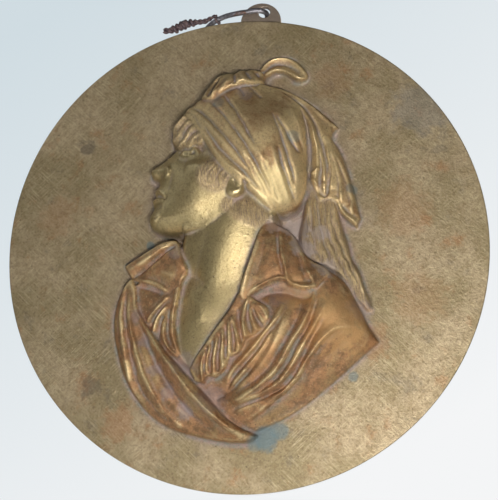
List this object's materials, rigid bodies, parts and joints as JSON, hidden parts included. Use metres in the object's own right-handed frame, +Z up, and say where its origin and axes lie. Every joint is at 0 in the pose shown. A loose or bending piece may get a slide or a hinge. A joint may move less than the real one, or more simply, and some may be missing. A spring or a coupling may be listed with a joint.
{
  "type": "relief plaque",
  "caption": "Round cast brass wall plaque with a high-relief bust in profile wearing a knotted headscarf, hung by a wire link through a lug.",
  "frame": {"origin": "top of the foot ring on the plaque's back, where it touches the wall; the disc's centre is 0.1 m below it", "axes": "+Z up, +Y into the wall, so the relief looks towards -Y; +X to the right as seen from the front"},
  "size_m": [0.24, 0.0365, 0.2504],
  "materials": {
    "patinated_brass": "cast brass, brushed field with brown and green patina, bare polished high points, reddish drapery",
    "dark_iron": "dark oxidised iron wire, slightly shiny",
    "rusty_wire": "rusty twisted picture wire"
  },
  "bodies": {
    "root": {"plaque": "patinated_brass", "hanging_link": "dark_iron", "wire_twist": "rusty_wire"}
  },
  "joints": []
}
